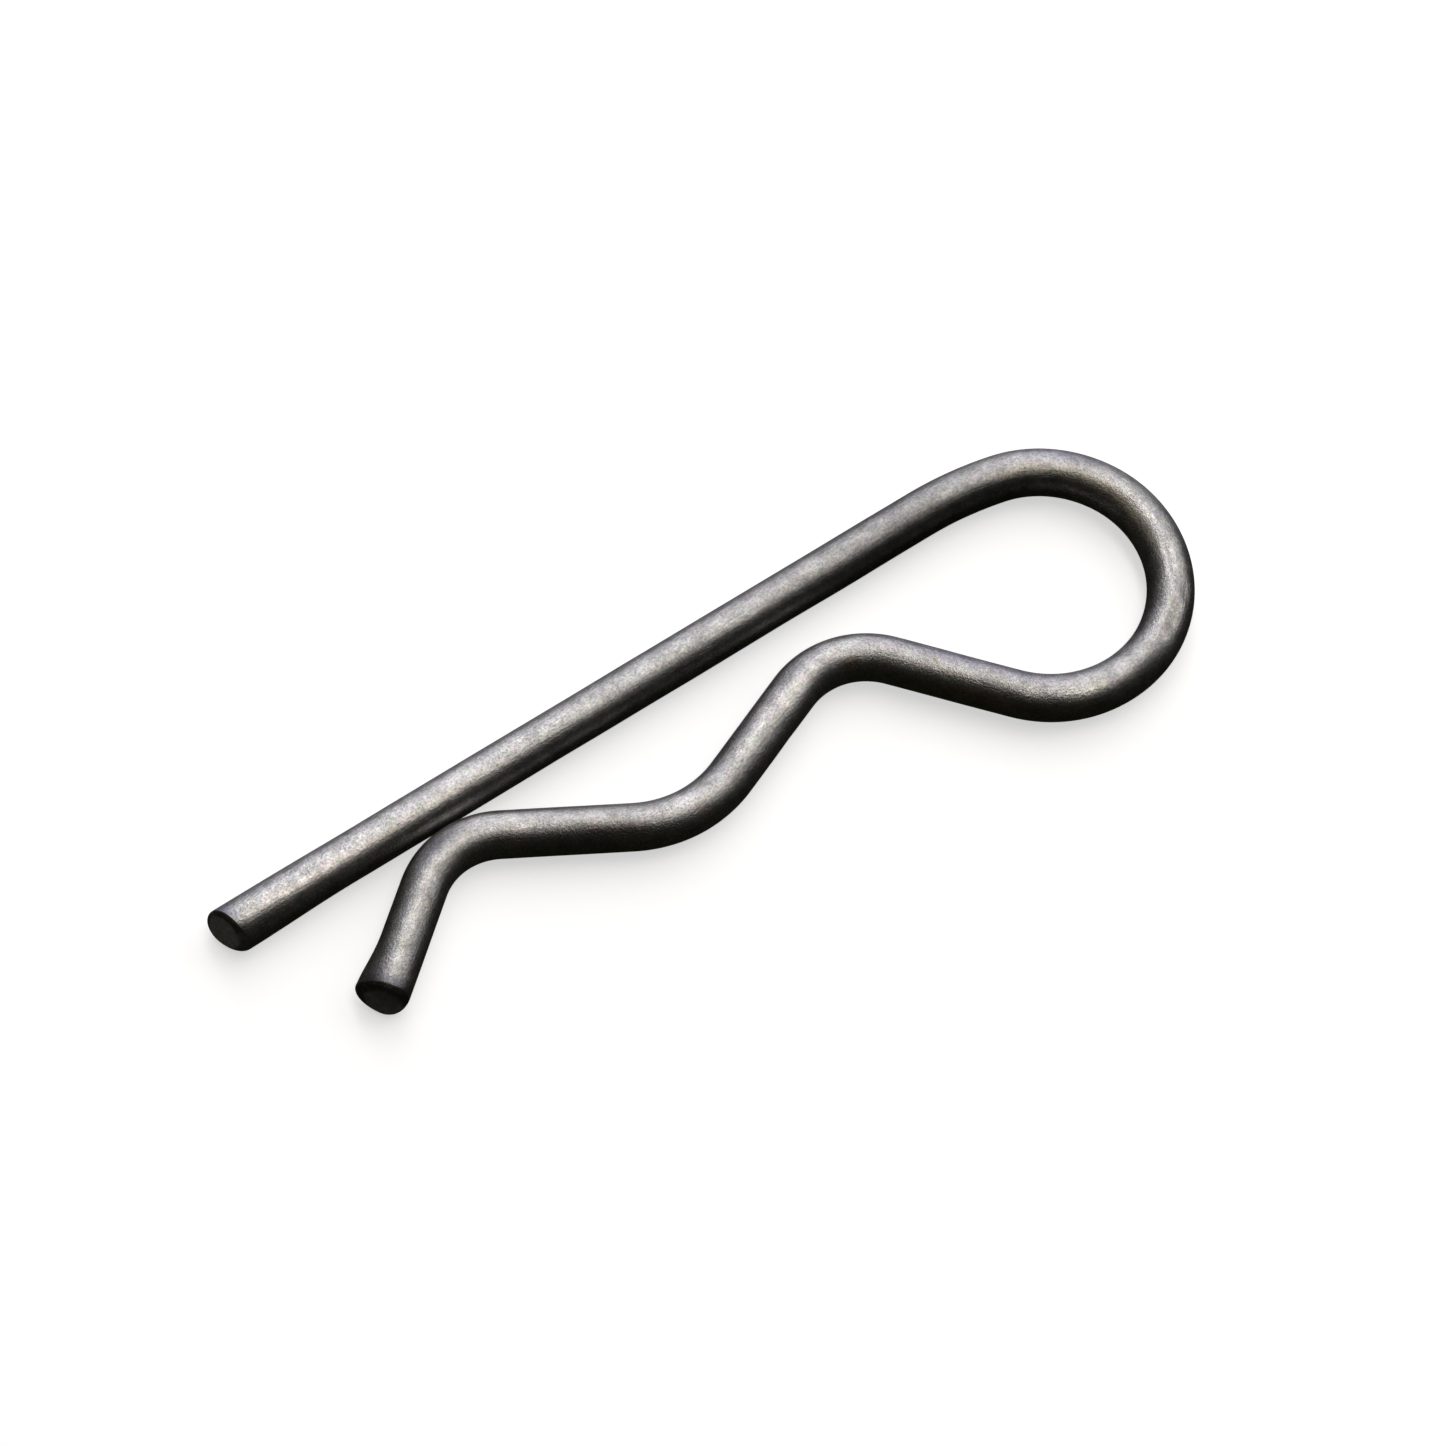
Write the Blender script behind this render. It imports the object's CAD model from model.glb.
from math import asin, atan2, cos, hypot, pi, radians, sin, tan

import bpy
import numpy as np
from mathutils import Matrix, Vector


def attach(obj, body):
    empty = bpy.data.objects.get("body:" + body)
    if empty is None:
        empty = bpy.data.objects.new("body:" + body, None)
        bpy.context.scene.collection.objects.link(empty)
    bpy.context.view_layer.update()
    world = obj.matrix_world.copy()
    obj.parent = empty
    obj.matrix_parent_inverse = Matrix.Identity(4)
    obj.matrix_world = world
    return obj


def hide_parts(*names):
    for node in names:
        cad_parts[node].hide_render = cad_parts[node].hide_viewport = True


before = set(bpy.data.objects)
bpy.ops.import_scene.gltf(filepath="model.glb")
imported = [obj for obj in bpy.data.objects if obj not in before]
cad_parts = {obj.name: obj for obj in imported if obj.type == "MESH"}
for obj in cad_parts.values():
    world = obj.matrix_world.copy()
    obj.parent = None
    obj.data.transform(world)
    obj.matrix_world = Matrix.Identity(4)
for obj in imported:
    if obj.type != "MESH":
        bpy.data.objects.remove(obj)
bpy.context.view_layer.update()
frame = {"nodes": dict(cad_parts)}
print("frame: loaded, with nodes", ", ".join(frame["nodes"]))

# The bent wire, in metres and degrees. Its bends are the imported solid's.
wire = {
    "diameter": 0.003,
    "legLength": 0.05145,
    "legCutSlant": 12,             # towards the wavy leg
    "legCutLean": 11,              # upwards
    "leadInnerRadius": 0.023,
    "leadTurn": 13,
    "bowInnerRadius": 0.0062,
    "neckRun": 0.0078,
    "neckGap": 0.00225,            # gaps are to the straight leg
    "neckInnerRadius": 0.004,
    "seatRun": 0.007,
    "seatGap": 0.0058,
    "seatInnerRadius": 0.0065,
    "throatRun": 0.0081,
    "throatGap": 0.00005,
    "throatInnerRadius": 0.0038,
    "flareAngle": 37.5,
    "flareLength": 0.008,
    "flareCutSlant": -7.5,
    "flareCutLean": 9,
}

# How finely the wire's skin is made, and how far a slanted cut fades into square rings
skin = {
    "ringSpacing": 0.0002,
    "sides": 112,
    "faceRings": 14,               # rings on each cut face
    "edgeRings": 8,                # rings on each rounded edge
    "cutFade": 0.004,
}

# What the shear left at both ends. Angles go round the wire from its left side.
tips = {
    "legEdge": (0.00028, 0.00036, 215),    # least edge rounding, what is added, at what angle
    "flareEdge": (0.0005, 0.00058, 4),
    "legCrush": (0.009, 0.15, 208),        # length crushed sideways, most spread, at what angle
    "flareCrush": (0.0042, 0.35, 208),
    "flarePush": 0.00013,          # how much longer the crushed flared tip is
}

# Slow unevenness of drawn and bent wire. It only goes inwards, off the true round.
relief = {
    "waves": 14,
    "depth": 0.00005,
    "start": 0.75,                 # share of a cut face's radius from which it comes in
    "wavelengths": (0.004, 0.018),
    "windings": 3,                 # most times that a wave goes round the wire
    "dents": 46,
    "dentDepth": (0.000008, 0.000026),
    "dentSize": (0.00018, 0.0005),
    "dentStretch": (1, 2.2),       # along the wire
    "pressMarks": [                # flats of the bending tools: place along the wire, angle
        # round it, half length, half width and depth
        (0.0706, 88, 0.0012, 0.00030, 0.00008),
        (0.0747, 72, 0.0010, 0.00030, 0.00010),
        (0.0727, 58, 0.0007, 0.00040, 0.00006),
        (0.1000, 118, 0.0030, 0.00060, 0.00003),
        (0.0560, 60, 0.0022, 0.00050, 0.00002),
    ],
    "faceWaves": 9,                # unevenness of a sheared face
    "faceDepth": 0.00004,
    "faceReach": 0.0005,           # how far behind a face it fades out
    "faceWavelengths": (0.0006, 0.003),
    "seed": 41,
}


def bendingTable(w):
    # Rows of (length, curvature) from the leg's cut face to the flared tip. Two bends of
    # opposite turn are joined by a straight run: the line of their centres makes
    # asin(rise / span) with the leg, and the run makes atan2(r1 + r2, run) with that line.
    r = w["diameter"] / 2
    leadR, bowR = w["leadInnerRadius"] + r, w["bowInnerRadius"] + r
    neckR, seatR = w["neckInnerRadius"] + r, w["seatInnerRadius"] + r
    throatR = w["throatInnerRadius"] + r
    lead = radians(w["leadTurn"])
    legY = leadR - (leadR - bowR) * cos(lead)
    legEndX = -(leadR - bowR) * sin(lead)
    neckY = legY - 2 * r - w["neckGap"] - neckR
    seatY = legY - 2 * r - w["seatGap"] + seatR
    throatY = legY - 2 * r - w["throatGap"] - throatR

    def heading(rise, run, radiusSum, side):
        return asin(rise / hypot(run, radiusSum)) + side * atan2(radiusSum, run)

    neckRun = heading(-neckY, w["neckRun"], bowR + neckR, -1)
    seatRun = heading(neckY - seatY, w["seatRun"], neckR + seatR, 1)
    throatRun = heading(seatY - throatY, w["throatRun"], seatR + throatR, -1)
    bends = [
        (w["legLength"], leadR, -lead),
        (0, bowR, lead + neckRun - pi),
        (w["neckRun"], neckR, seatRun - neckRun),
        (w["seatRun"], seatR, throatRun - seatRun),
        (w["throatRun"], throatR, radians(w["flareAngle"]) - throatRun),
    ]
    rows = []
    for run, radius, turn in bends:
        rows += [(run, 0), (abs(turn) * radius, turn / abs(turn) / radius)]
    rows.append((w["flareLength"], 0))
    return rows, Vector((legEndX - w["legLength"], legY, r))


def wireAxis(rows, start, spacing):
    # The axis in the plane z = wire radius. The curvature is constant along a stretch, so
    # the heading is piecewise linear, and each step is a chord of length
    # step * sin(d / 2) / (d / 2) at the mean heading, where d is the turn over the step.
    lengths, curvatures = np.array(rows).T
    knots = np.r_[0, np.cumsum(lengths)]
    turns = np.r_[0, np.cumsum(lengths * curvatures)]
    count = int(knots[-1] / spacing)
    s = np.unique(np.r_[np.linspace(0, knots[-1], count), knots])
    s = s[np.r_[True, np.diff(s) > spacing * 0.2]]
    s[-1] = knots[-1]
    h = np.interp(s, knots, turns)
    chord = np.diff(s) * np.sinc(np.diff(h) / 2 / pi)
    mean = (h[1:] + h[:-1]) / 2
    x = start.x + np.r_[0, np.cumsum(chord * np.cos(mean))]
    y = start.y + np.r_[0, np.cumsum(chord * np.sin(mean))]
    return s, h, np.stack([x, y, np.full_like(x, start.z)], 1)


def smoothStep(t):
    # 3 t^2 - 2 t^3 between 0 and 1
    t = np.clip(t, 0, 1)
    return t * t * (3 - 2 * t)


def aroundFrom(phi, angle, r):
    # Distance round the wire's wall from an angle, the short way
    return r * (np.mod(phi - angle + pi, 2 * pi) - pi)


def wallRelief(s, phi, total, r):
    # Depth under the true round: the mean over all waves of
    # (1 + cos(rate * s + turns * phi + phase)) / 2, times the depth, plus flats
    # depth * exp(-(along / halfLength)^4 - (around / halfWidth)^2), plus round dents
    # depth * exp(-distance^2 / size^2)
    rng = np.random.default_rng(relief["seed"])
    rates = 2 * pi / rng.uniform(*relief["wavelengths"], relief["waves"])
    turns = rng.integers(-relief["windings"], relief["windings"] + 1, relief["waves"])
    phases = rng.uniform(0, 2 * pi, relief["waves"])
    depth = np.zeros_like(s + phi)
    for rate, turn, phase in zip(rates, turns, phases):
        depth += (1 + np.cos(rate * s + turn * phi + phase)) / 2 / relief["waves"]
    depth *= relief["depth"]
    for place, angle, halfLength, halfWidth, low in relief["pressMarks"]:
        around = aroundFrom(phi, radians(angle), r)
        depth += low * np.exp(-((s - place) / halfLength) ** 4 - (around / halfWidth) ** 2)
    for _ in range(relief["dents"]):
        place, angle = rng.uniform(0, total), rng.uniform(0, 2 * pi)
        size, low = rng.uniform(*relief["dentSize"]), rng.uniform(*relief["dentDepth"])
        stretch = rng.uniform(*relief["dentStretch"])
        around = aroundFrom(phi, angle, r)
        depth += low * np.exp(-((s - place) / size / stretch) ** 2 - (around / size) ** 2)
    return depth


def faceRelief(y, z, seed):
    # Depth of a sheared face at (y, z): the mean of raised cosines, as on the wall
    rng = np.random.default_rng(seed)
    depth = np.zeros_like(y)
    for _ in range(relief["faceWaves"]):
        rate = 2 * pi / rng.uniform(*relief["faceWavelengths"])
        angle, phase = rng.uniform(0, pi), rng.uniform(0, 2 * pi)
        depth += (1 + np.cos(rate * (y * cos(angle) + z * sin(angle)) + phase)) / 2
    return depth * relief["faceDepth"] / relief["faceWaves"]


def endProfile(r, phi, rounding):
    # (depth behind the cut plane, radius) by ring and angle, from the face's middle out and
    # round its edge, whose rounding is least + added * ((1 + cos(phi - angle)) / 2)^2
    least, added, angle = rounding
    edge = least + added * ((1 + np.cos(phi - radians(angle))) / 2) ** 2
    flat = np.linspace(0, 1, skin["faceRings"] + 1)[1:, None] * (r - edge)
    t = np.linspace(0, pi / 2, skin["edgeRings"] + 1)[1:, None]
    depth = np.concatenate([np.zeros_like(flat), edge * (1 - np.cos(t))])
    return depth, np.concatenate([flat, r - edge + edge * np.sin(t)])


def wireSkin(w):
    # Rings of radius rho round the axis: point(s, phi) = axis(s) + y * left + z * up
    # + along * tangent, where z is rho * sin(phi), y is rho * cos(phi) times
    # 1 + spread * fade * max(cos(phi - angle), 0)^2 near a crushed tip, and along tilts the
    # rings near a cut face
    s, h, axis = wireAxis(*bendingTable(w), skin["ringSpacing"])
    total, r = s[-1], w["diameter"] / 2
    phi = np.arange(skin["sides"])[None] * 2 * pi / skin["sides"]
    legDepth, legRadius = endProfile(r, phi, tips["legEdge"])
    flareDepth, flareRadius = endProfile(r, phi, tips["flareEdge"])
    wall = s[(s > legDepth.max()) & (s < total - flareDepth.max())][:, None] + 0 * phi
    place = np.concatenate([legDepth, wall, total - flareDepth[::-1]])
    rho = np.concatenate([legRadius, 0 * wall + r, flareRadius[::-1]])
    start = relief["start"]
    rho = rho - wallRelief(place, phi, total, r) * smoothStep((rho / r - start) / (1 - start))
    y, z = rho * np.cos(phi), rho * np.sin(phi)
    fromLeg, fromFlare = place, total - place
    for inward, (length, spread, angle) in (fromLeg, tips["legCrush"]), (fromFlare, tips["flareCrush"]):
        fade = smoothStep(1 - inward / length)
        y = y * (1 + spread * fade * np.maximum(np.cos(phi - radians(angle)), 0) ** 2)
    along = tips["flarePush"] * smoothStep(1 - fromFlare / tips["flareCrush"][0])
    ends = [(fromLeg, 1, w["legCutSlant"], w["legCutLean"], 1),
            (fromFlare, -1, w["flareCutSlant"], w["flareCutLean"], 2)]
    for inward, sign, slant, lean, seed in ends:
        # a plane through the axis's end whose normal leans outward-left by the slant and
        # up by the lean: outward = -(left * tan(slant) + up * tan(lean) / cos(slant))
        tilt = sign * y * tan(radians(slant)) - z * tan(radians(lean)) / cos(radians(slant))
        fade = smoothStep(1 - inward / skin["cutFade"])
        torn = faceRelief(y, z, relief["seed"] + seed) * smoothStep(1 - inward / relief["faceReach"])
        along += sign * (torn - tilt * fade)
    heading = np.interp(place, s, h)
    centre = np.stack([np.interp(place, s, axis[:, k]) for k in range(3)], 2)
    tangent = np.stack([np.cos(heading), np.sin(heading), 0 * heading], 2)
    left = np.stack([-np.sin(heading), np.cos(heading), 0 * heading], 2)
    up = np.array([0, 0, 1])
    points = centre + y[..., None] * left + z[..., None] * up + along[..., None] * tangent
    return points, np.stack([place + along, y, z], 2)


def gridMesh(name, points, unrolled):
    # Quads between neighbouring rings, and a fan round the middle of each cut face
    rings, sides = points.shape[:2]
    i, j = np.meshgrid(np.arange(rings - 1), np.arange(sides), indexing="ij")
    k = (j + 1) % sides
    quads = np.stack([i * sides + k, (i + 1) * sides + k, (i + 1) * sides + j, i * sides + j], 2)
    around = np.arange(sides)
    after = (around + 1) % sides
    last = (rings - 1) * sides
    first = np.stack([after, around, np.full(sides, rings * sides)], 1)
    final = np.stack([last + around, last + after, np.full(sides, rings * sides + 1)], 1)
    faces = quads.reshape(-1, 4).tolist() + first.tolist() + final.tolist()

    def withPoles(grid):
        return np.r_[grid.reshape(-1, 3), grid[0].mean(0)[None], grid[-1].mean(0)[None]]

    mesh = bpy.data.meshes.new(name)
    mesh.from_pydata(withPoles(points).tolist(), [], faces)
    faceRows = skin["faceRings"] + skin["edgeRings"] - 2
    onFace = (i < faceRows) | (i >= rings - 1 - faceRows)
    onFace = np.r_[onFace.ravel(), np.ones(2 * sides, bool)]
    mesh.polygons.foreach_set("material_index", onFace.astype(np.int32))
    mesh.polygons.foreach_set("use_smooth", np.ones(len(faces), bool))
    # where a point lies on the straightened wire, in millimetres: along, left and up
    space = mesh.attributes.new("wireSpace", "FLOAT_VECTOR", "POINT")
    space.data.foreach_set("vector", (withPoles(unrolled) * 1000).ravel())
    mesh.update()
    return mesh


def addNode(tree, kind, inputs=(), **settings):
    node = tree.nodes.new("ShaderNode" + kind)
    for name, value in settings.items():
        setattr(node, name, value)
    for name, value in dict(inputs).items():
        if isinstance(value, bpy.types.NodeSocket):
            tree.links.new(value, node.inputs[name])
        else:
            node.inputs[name].default_value = value
    return node


def maths(tree, operation, first, second=0.0):
    return addNode(tree, "Math", {0: first, 1: second}, operation=operation).outputs[0]


def vectorMaths(tree, operation, first, second=(0.0, 0.0, 0.0)):
    return addNode(tree, "VectorMath", {0: first, 1: second}, operation=operation).outputs[0]


def lengthOf(tree, vector):
    return addNode(tree, "VectorMath", {0: vector}, operation="LENGTH").outputs["Value"]


def scaled(tree, vector, factor):
    return addNode(tree, "VectorMath", {0: vector, "Scale": factor}, operation="SCALE").outputs[0]


def blend(tree, kind, factor, first, second):
    inputs = {0: factor, 6: first, 7: second}
    return addNode(tree, "Mix", data_type="RGBA", blend_type=kind, inputs=inputs).outputs[2]


def ranged(tree, value, low, high, newLow=0.0, newHigh=1.0, ease="LINEAR"):
    inputs = {"Value": value, "From Min": low, "From Max": high, "To Min": newLow, "To Max": newHigh}
    return addNode(tree, "MapRange", inputs, interpolation_type=ease).outputs[0]


def noise(tree, vector, scale, detail=2.0, roughness=0.5, output="Fac"):
    inputs = {"Vector": vector, "Scale": scale, "Detail": detail, "Roughness": roughness}
    return addNode(tree, "TexNoise", inputs).outputs[output]


def nodeGroup(name, inputs, outputs):
    # An empty shader group; inputs are (name, kind, start value), outputs are (name, kind)
    group = bpy.data.node_groups.new(name, "ShaderNodeTree")
    for label, kind, start in inputs:
        socket = group.interface.new_socket(label, in_out="INPUT", socket_type="NodeSocket" + kind)
        if start is not None:
            socket.default_value = start
    for label, kind in outputs:
        group.interface.new_socket(label, in_out="OUTPUT", socket_type="NodeSocket" + kind)
    return group, group.nodes.new("NodeGroupInput").outputs, group.nodes.new("NodeGroupOutput").inputs


# Ranges of noise that become 0 to 1, shares, and sizes against the blotches
grain = {
    "blotchRange": (0.32, 0.68),
    "speckRange": (0.28, 0.72),
    "blotchShare": 0.6,            # the rest of the tone is specks
    "pitsPerBlotch": 0.55,
    "pitRange": (0.05, 0.22),
    "pitDepth": 0.5,
}


def makeGrain():
    # Matt grain: blotches and fine specks, both even in all directions, with a few pits.
    # Tone and Height are about 0.5 on average.
    group, given, made = nodeGroup("mattGrain", [
        ("Vector", "Vector", None), ("Blotches per mm", "Float", 5.0),
        ("Specks per mm", "Float", 12.0)], [("Tone", "Float"), ("Height", "Float")])
    blotches = noise(group, given["Vector"], given["Blotches per mm"], roughness=0.6)
    specks = noise(group, given["Vector"], given["Specks per mm"], detail=1.0)
    share = grain["blotchShare"]
    coarse = ranged(group, blotches, *grain["blotchRange"], 0.0, share)
    fine = ranged(group, specks, *grain["speckRange"], 0.0, 1 - share)
    tone = maths(group, "ADD", coarse, fine)
    group.links.new(tone, made["Tone"])
    pitSize = maths(group, "MULTIPLY", given["Blotches per mm"], grain["pitsPerBlotch"])
    cells = addNode(group, "TexVoronoi", {"Vector": given["Vector"], "Scale": pitSize})
    low, high = grain["pitRange"]
    pits = ranged(group, cells.outputs["Distance"], low, high, -grain["pitDepth"], 0.0, "SMOOTHSTEP")
    group.links.new(maths(group, "ADD", tone, pits), made["Height"])
    return group


drawing = {
    "lineRange": (0.3, 0.7),
    "scuffStretch": (0.3, 1.0, 1.0),    # scuffs are three times as long as they are wide
    "scuffsPerMm": 4.5,
    "scuffRange": (0.58, 0.7),
    "scuffedPerMm": 0.35,          # how the scuffed stretches come and go
    "scuffedRange": (0.5, 0.62),
}


def makeDrawing():
    # Marks of the drawing die: long thin lines along the wire, which are much stretched
    # noise, and short scuffs here and there
    group, given, made = nodeGroup("drawingMarks", [
        ("Vector", "Vector", None), ("Lines per mm", "Float", 7.0), ("Stretch", "Float", 60.0)],
        [("Lines", "Float"), ("Scuffs", "Float")])
    slower = maths(group, "DIVIDE", 1.0, given["Stretch"])
    squeeze = addNode(group, "CombineXYZ", {"X": slower, "Y": 1.0, "Z": 1.0}).outputs[0]
    along = vectorMaths(group, "MULTIPLY", given["Vector"], squeeze)
    lines = noise(group, along, given["Lines per mm"], 3.0, 0.6)
    group.links.new(ranged(group, lines, *drawing["lineRange"]), made["Lines"])
    shorter = vectorMaths(group, "MULTIPLY", given["Vector"], drawing["scuffStretch"])
    scuffs = ranged(group, noise(group, shorter, drawing["scuffsPerMm"]), *drawing["scuffRange"])
    scuffed = noise(group, given["Vector"], drawing["scuffedPerMm"], detail=1.0)
    shown = maths(group, "MULTIPLY", scuffs, ranged(group, scuffed, *drawing["scuffedRange"]))
    group.links.new(shown, made["Scuffs"])
    return group


def makeStain(edgeWidth=0.12):
    # Brown film of old oil and first rust, in soft-edged patches where noise is high
    group, given, made = nodeGroup("oilStain", [
        ("Vector", "Vector", None), ("Patches per mm", "Float", 0.5), ("Cover", "Float", 0.5)],
        [("Mask", "Float")])
    patches = noise(group, given["Vector"], given["Patches per mm"], 4.0, 0.62)
    start = maths(group, "SUBTRACT", 1.0, given["Cover"])
    end = maths(group, "ADD", start, edgeWidth)
    group.links.new(ranged(group, patches, start, end, ease="SMOOTHSTEP"), made["Mask"])
    return group


def makeMottle():
    # Uneven oxide film: soft lighter and darker patches, and faint shifts of hue. Share and
    # Tint are about 1 on average.
    group, given, made = nodeGroup("filmMottle", [
        ("Vector", "Vector", None), ("Patches per mm", "Float", 0.6), ("Patch change", "Float", 0.4),
        ("Tints per mm", "Float", 2.2), ("Tint change", "Float", 0.18)],
        [("Share", "Float"), ("Tint", "Color")])
    patches = noise(group, given["Vector"], given["Patches per mm"])
    shift = maths(group, "MULTIPLY", maths(group, "SUBTRACT", patches, 0.5), given["Patch change"])
    group.links.new(maths(group, "ADD", shift, 1.0), made["Share"])
    tints = noise(group, given["Vector"], given["Tints per mm"], output="Color")
    centred = vectorMaths(group, "SUBTRACT", tints, (0.5, 0.5, 0.5))
    tint = vectorMaths(group, "ADD", scaled(group, centred, given["Tint change"]), (1.0, 1.0, 1.0))
    group.links.new(tint, made["Tint"])
    return group


def makeSpot():
    # One soft spot: 1 at its centre, 0 from its half sizes on
    group, given, made = nodeGroup("softSpot", [
        ("Vector", "Vector", None), ("Centre", "Vector", None), ("Half sizes", "Vector", None)],
        [("Mask", "Float")])
    off = vectorMaths(group, "SUBTRACT", given["Vector"], given["Centre"])
    away = lengthOf(group, vectorMaths(group, "DIVIDE", off, given["Half sizes"]))
    group.links.new(ranged(group, away, 0.0, 1.0, 1.0, 0.0, "SMOOTHSTEP"), made["Mask"])
    return group


# Finish of the drawn wire's wall. Tone along the wire is (distance in mm, share of the base
# colour): it is brightest where hands and holes rub it, at the tips and on the bends.
wallFinish = {
    "baseColor": (0.405, 0.398, 0.388, 1),
    "metallic": 1.0,
    "grainShare": (0.62, 1.38),    # shares of the base colour from the grain's dark to its light
    "toneAlong": [(0, 1.2), (2, 1.16), (5, 1.06), (17, 1.1), (26, 0.98), (34, 0.88), (42, 0.76),
                  (51, 0.62), (60, 0.83), (68, 1.14), (76, 0.91), (85, 0.84), (94, 0.89), (102, 1.1),
                  (110, 0.98), (119, 0.79), (127, 1.08), (130.5, 0.99), (135, 1.0), (137.2, 1.0)],
    # the straight leg's inner side, which no hand rubs bright: share of the base colour, left
    # distances over which it starts, and distances along over which it ends
    "flank": (0.58, (-1.2, -0.1), (56.0, 66.0)),
    "roughness": 0.375,
    "roughnessSpread": 0.08,
    "linesShade": 0.08,
    "linesDepth": 0.25,            # against the grain's depth
    "grainDepth": 0.000014,
    "scuffShare": 1.35,
    "scuffGloss": 0.06,
    "stainColor": (0.20, 0.13, 0.085, 1),
    "stainStrength": 0.5,
    "stainRoughness": 0.12,
    "groups": {"mattGrain": {"Blotches per mm": 6.0, "Specks per mm": 13.0},
               "drawingMarks": {"Lines per mm": 7.0, "Stretch": 60.0},
               "oilStain": {"Patches per mm": 0.5, "Cover": 0.36},
               "filmMottle": {"Patches per mm": 1.1, "Patch change": 1.0,
                              "Tints per mm": 2.2, "Tint change": 0.2}},
    # patches where the film is thicker, thinner or of another hue: place along in mm, angle
    # round the wire, half length, half width, and the colour that multiplies the steel's
    "spots": [
        (0.5, 60, 1.0, 3.0, (0.62, 0.62, 0.70)),
        (3.2, 56, 3.5, 0.6, (0.80, 0.80, 0.82)),
        (4.5, 109, 6.0, 0.6, (1.24, 1.22, 1.20)),
        (14.0, 106, 10.0, 0.5, (1.20, 1.17, 1.13)),
        (7.0, 123, 9.0, 0.8, (1.52, 1.48, 1.45)),
        (58.2, 108, 2.2, 0.6, (1.25, 1.22, 1.14)),
        (60.8, 54, 4.0, 0.7, (1.12, 1.10, 1.30)),
        (62.0, 112, 8.0, 0.7, (1.10, 1.06, 0.96)),
        (74.0, 75, 1.7, 0.7, (1.50, 1.50, 1.46)),
        (77.8, 62, 2.1, 0.85, (0.48, 0.48, 0.48)),
        (81.8, 68, 2.4, 0.7, (1.66, 1.62, 1.54)),
        (88.3, 30, 6.0, 0.7, (1.20, 0.98, 0.86)),
        (89.0, 126, 9.0, 0.9, (1.08, 1.04, 1.22)),
        (96.8, 57, 1.3, 0.5, (0.62, 0.46, 0.38)),
        (100.0, 113, 3.0, 0.7, (0.64, 0.64, 0.66)),
        (101.3, 67, 3.5, 0.6, (1.48, 1.46, 1.42)),
        (107.2, 54, 2.6, 0.75, (0.62, 0.62, 0.62)),
        (116.5, 64, 6.2, 0.7, (0.45, 0.42, 0.41)),
        (122.2, 76, 2.6, 0.6, (1.25, 1.22, 1.20)),
        (126.8, 113, 3.6, 1.0, (0.38, 0.38, 0.42)),
        (127.0, 53, 2.2, 0.8, (1.40, 1.36, 1.30)),
        (136.6, 75, 1.2, 3.0, (0.50, 0.50, 0.58)),
    ],
}
# Finish of the sheared faces: dull, dark and torn, darker still at the rim
faceFinish = {
    "baseColor": (0.07, 0.07, 0.06, 1),
    "metallic": 0.4,
    "grainShare": (0.7, 1.3),
    "toneAlong": [(0, 1.05), (137.2, 0.75)],
    "rim": (0.25, (1.0, 1.3)),     # share of the base colour, distances from the axis in mm
    "roughness": 0.5,
    "roughnessSpread": 0.12,
    "linesShade": 0.3,
    "linesDepth": 0.25,
    "grainDepth": 0.00003,
    "scuffShare": 1.35,
    "scuffGloss": 0.06,
    "stainColor": (0.06, 0.05, 0.035, 1),
    "stainStrength": 0.5,
    "stainRoughness": 0.12,
    "groups": {"mattGrain": {"Blotches per mm": 4.0, "Specks per mm": 9.0},
               "drawingMarks": {"Lines per mm": 5.0, "Stretch": 1.0},
               "oilStain": {"Patches per mm": 1.2, "Cover": 0.5},
               "filmMottle": {"Patches per mm": 0.9, "Patch change": 0.4,
                              "Tints per mm": 2.0, "Tint change": 0.1}},
    "spots": [(137.0, 90, 3.0, 5.0, (0.50, 0.50, 0.50))],    # the flared tip's face is darker
}


def toneRamp(tree, along, stops):
    # A smooth curve through (distance, share) stops, stored as shares of the largest one
    last, top = stops[-1][0], max(share for _, share in stops)
    ramp = addNode(tree, "ValToRGB", {"Fac": maths(tree, "DIVIDE", along, last)})
    ramp.color_ramp.interpolation = "EASE"
    marks = ramp.color_ramp.elements
    while len(marks) < len(stops):
        marks.new(0.5)
    for mark, (distance, share) in zip(marks, stops):
        mark.position = distance / last
        mark.color = (share / top, share / top, share / top, 1)
    return maths(tree, "MULTIPLY", ramp.outputs["Color"], top)


def placeGroups(tree, space, finish, groups):
    # The finish's own copy of each shared group, with its values
    placed = {}
    for label, values in finish["groups"].items():
        node = addNode(tree, "Group", node_tree=groups[label])
        tree.links.new(space, node.inputs["Vector"])
        for socket, value in values.items():
            node.inputs[socket].default_value = value
        placed[label] = node.outputs
    return placed


def spotted(tree, space, color, spots, spotGroup):
    # The colour multiplied by each spot's own, as far as the spot's mask says
    r = wire["diameter"] / 2 * 1000
    for place, angle, halfLength, halfWidth, tint in spots:
        spot = addNode(tree, "Group", node_tree=spotGroup)
        tree.links.new(space, spot.inputs["Vector"])
        spot.inputs["Centre"].default_value = (place, r * cos(radians(angle)), r * sin(radians(angle)))
        spot.inputs["Half sizes"].default_value = (halfLength, halfWidth, halfWidth)
        color = blend(tree, "MULTIPLY", spot.outputs["Mask"], color, (*tint, 1))
    return color


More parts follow.
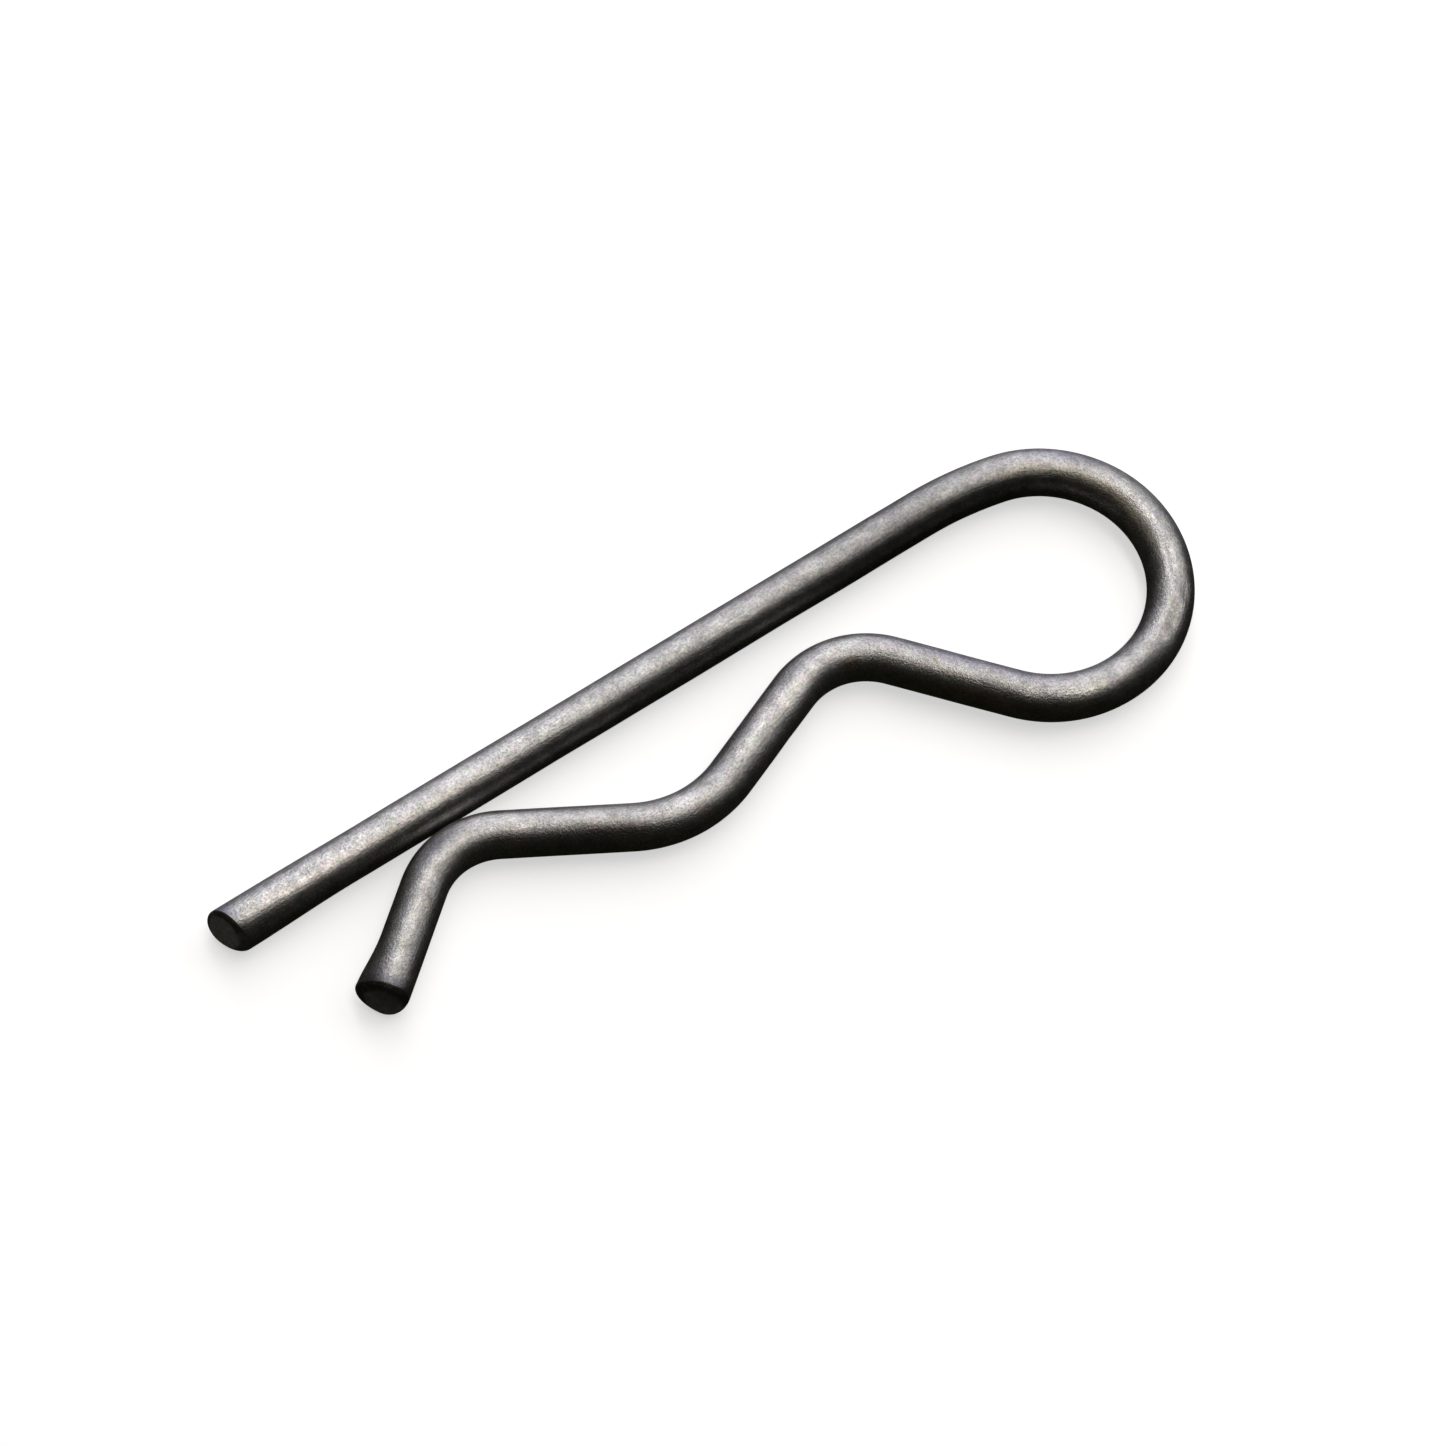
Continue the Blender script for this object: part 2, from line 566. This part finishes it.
def steelMaterial(name, finish, groups):
    material = bpy.data.materials.new(name)
    material.use_nodes = True
    tree = material.node_tree
    shader = tree.nodes["Principled BSDF"]
    shader.inputs["Metallic"].default_value = finish["metallic"]
    space = addNode(tree, "Attribute", attribute_name="wireSpace").outputs["Vector"]
    placed = placeGroups(tree, space, finish, groups)
    tone, lines = placed["mattGrain"]["Tone"], placed["drawingMarks"]["Lines"]
    scuffs, mottle = placed["drawingMarks"]["Scuffs"], placed["filmMottle"]
    parts = addNode(tree, "SeparateXYZ", {"Vector": space}).outputs
    shares = [
        toneRamp(tree, parts["X"], finish["toneAlong"]),
        ranged(tree, tone, 0.0, 1.0, *finish["grainShare"]),
        ranged(tree, lines, 0.0, 1.0, 1 - finish["linesShade"], 1.0),
        ranged(tree, scuffs, 0.0, 1.0, 1.0, finish["scuffShare"]),
        mottle["Share"],
    ]
    if "rim" in finish:
        least, reach = finish["rim"]
        section = addNode(tree, "CombineXYZ", {"Y": parts["Y"], "Z": parts["Z"]}).outputs[0]
        shares.append(ranged(tree, lengthOf(tree, section), *reach, 1.0, least, "SMOOTHSTEP"))
    if "flank" in finish:
        least, side, end = finish["flank"]
        flank = ranged(tree, parts["Y"], *side, least, 1.0, "SMOOTHSTEP")
        shares.append(ranged(tree, parts["X"], *end, flank, 1.0, "SMOOTHSTEP"))
    share = shares[0]
    for other in shares[1:]:
        share = maths(tree, "MULTIPLY", share, other)
    tinted = vectorMaths(tree, "MULTIPLY", mottle["Tint"], finish["baseColor"][:3])
    tinted = spotted(tree, space, tinted, finish["spots"], groups["softSpot"])
    film = maths(tree, "MULTIPLY", placed["oilStain"]["Mask"], finish["stainStrength"])
    color = blend(tree, "MIX", film, scaled(tree, tinted, share), finish["stainColor"])
    tree.links.new(color, shader.inputs["Base Color"])
    half = finish["roughnessSpread"] / 2
    rough = ranged(tree, tone, 0.0, 1.0, finish["roughness"] + half, finish["roughness"] - half)
    rough = maths(tree, "ADD", rough, maths(tree, "MULTIPLY", film, finish["stainRoughness"]))
    rough = maths(tree, "SUBTRACT", rough, maths(tree, "MULTIPLY", scuffs, finish["scuffGloss"]))
    tree.links.new(rough, shader.inputs["Roughness"])
    grooves = maths(tree, "MULTIPLY", lines, finish["linesDepth"])
    height = maths(tree, "ADD", placed["mattGrain"]["Height"], grooves)
    bump = addNode(tree, "Bump", {"Strength": 1.0, "Distance": finish["grainDepth"], "Height": height})
    tree.links.new(bump.outputs["Normal"], shader.inputs["Normal"])
    return material


groups = {"mattGrain": makeGrain(), "drawingMarks": makeDrawing(), "oilStain": makeStain(),
          "filmMottle": makeMottle(), "softSpot": makeSpot()}
wireMesh = gridMesh("bentWire", *wireSkin(wire))
print("wire: skin of", len(wireMesh.polygons), "faces")
wireMesh.materials.append(steelMaterial("drawnWireSteel", wallFinish, groups))
wireMesh.materials.append(steelMaterial("shearedSteel", faceFinish, groups))
bentWire = bpy.data.objects.new("bent_wire", wireMesh)
bpy.context.collection.objects.link(bentWire)
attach(bentWire, "root")
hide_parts("wire_clip")
print("wire: steel on the wall and the cut faces")


def direction(azimuth, elevation):
    a, e = radians(azimuth), radians(elevation)
    return Vector((cos(e) * cos(a), cos(e) * sin(a), sin(e)))


def axesTo(towards, roll):
    # Right, up and back axes of a camera or lamp that looks against towards, turned by roll
    level = Vector((-towards.y, towards.x, 0)).normalized()
    rise = towards.cross(level)
    c, s = cos(radians(roll)), sin(radians(roll))
    return Matrix((c * level + s * rise, c * rise - s * level, towards)).transposed()


view = {
    "aim": (-0.0219867, 0.0031723, 0.0015),
    "azimuth": -133.756,
    "elevation": 64,
    "roll": 9.6053,
    "distance": 0.758432,
    "lens": 311.16,
    "clip": (0.01, 10),
}


def placeFacing(name, data, azimuth, elevation, roll, distance):
    # A camera or lamp that looks at the aim from a distance
    towards = direction(azimuth, elevation)
    placed = bpy.data.objects.new(name, data)
    place = Matrix.Translation(Vector(view["aim"]) + towards * distance)
    placed.matrix_world = place @ axesTo(towards, roll).to_4x4()
    bpy.context.collection.objects.link(placed)
    return placed


def placeCamera(v):
    data = bpy.data.cameras.new("camera")
    data.lens = v["lens"]
    data.clip_start, data.clip_end = v["clip"]
    camera = placeFacing("camera", data, v["azimuth"], v["elevation"], v["roll"], v["distance"])
    bpy.context.scene.camera = camera


# Radiance is that of the lamp's face; halfWidth and halfHeight are for a distance of 1
lampDistance = 0.5
lamps = {
    "keyLamp": {"azimuth": 27.8, "elevation": 32.0, "roll": -18.8, "halfWidth": 1.28,
                "halfHeight": 0.408, "radiance": 0.98, "color": (0.975, 0.965, 1.0)},
    "sideLamp": {"azimuth": 69.9, "elevation": 33.2, "roll": 87.1, "halfWidth": 0.58,
                 "halfHeight": 0.443, "radiance": 0.60, "color": (0.865, 0.87, 1.0)},
    "topLamp": {"azimuth": 45.5, "elevation": 67.3, "roll": 31.9, "halfWidth": 0.145,
                "halfHeight": 0.768, "radiance": 2.8, "color": (1.0, 0.97, 0.96)},
    "warmLamp": {"azimuth": 53.4, "elevation": 81.3, "roll": 15.0, "halfWidth": 1.345,
                 "halfHeight": 0.211, "radiance": 0.46, "color": (1.0, 0.87, 0.67)},
}


def placeLamp(name, lamp):
    data = bpy.data.lights.new(name, "AREA")
    data.shape = "RECTANGLE"
    data.size = 2 * lamp["halfWidth"] * lampDistance
    data.size_y = 2 * lamp["halfHeight"] * lampDistance
    data.energy = lamp["radiance"] * pi * data.size * data.size_y
    data.color = lamp["color"]
    placeFacing(name, data, lamp["azimuth"], lamp["elevation"], lamp["roll"], lampDistance)


floorLook = {"halfSize": 3, "color": (0.8, 0.8, 0.8, 1), "glow": 0.6}


def placeFloor(look):
    h = look["halfSize"]
    mesh = bpy.data.meshes.new("floor")
    mesh.from_pydata([(-h, -h, 0), (h, -h, 0), (h, h, 0), (-h, h, 0)], [], [(0, 1, 2, 3)])
    material = bpy.data.materials.new("palePaper")
    material.use_nodes = True
    shader = material.node_tree.nodes["Principled BSDF"]
    shader.inputs["Base Color"].default_value = look["color"]
    shader.inputs["Roughness"].default_value = 1
    shader.inputs["Specular IOR Level"].default_value = 0
    shader.inputs["Emission Color"].default_value = (1, 1, 1, 1)
    shader.inputs["Emission Strength"].default_value = look["glow"]
    mesh.materials.append(material)
    floor = bpy.data.objects.new("floor", mesh)
    floor.visible_glossy = False
    bpy.context.collection.objects.link(floor)


# The glow stands for the bright ground beyond the clip, which the wire's far side mirrors
roomLook = {
    "shade": (0.0105, 0.0103, 0.0067, 1),
    "seen": (0.9, 0.9, 0.9, 1),
    "glow": (0.3, 0.3, 0.34, 1),
    "glowAzimuth": 48,
    "glowElevation": -17,
    "glowInner": 14,               # degrees from its middle to where it starts to fade
    "glowOuter": 40,
}


def paintRoom(look):
    # Dark round the clip, so that the lamps alone draw its form, and pale to the camera
    world = bpy.data.worlds.new("room")
    bpy.context.scene.world = world
    world.use_nodes = True
    world.cycles.sampling_method = "NONE"
    tree = world.node_tree
    heading = addNode(tree, "TexCoord").outputs["Generated"]
    middle = direction(look["glowAzimuth"], look["glowElevation"])
    nearness = addNode(tree, "VectorMath", {0: heading, 1: middle}, operation="DOT_PRODUCT")
    limits = cos(radians(look["glowOuter"])), cos(radians(look["glowInner"]))
    share = ranged(tree, nearness.outputs["Value"], *limits, ease="SMOOTHSTEP")
    around = blend(tree, "MIX", share, look["shade"], look["glow"])
    toCamera = addNode(tree, "LightPath").outputs["Is Camera Ray"]
    room = blend(tree, "MIX", toCamera, around, look["seen"])
    tree.links.new(room, tree.nodes["Background"].inputs["Color"])


placeCamera(view)
for name, lamp in lamps.items():
    placeLamp(name, lamp)
placeFloor(floorLook)
paintRoom(roomLook)
bpy.context.scene.view_settings.view_transform = "Standard"
print("stage: camera,", len(lamps), "lamps, floor and room placed")

print("size: both boxes written")
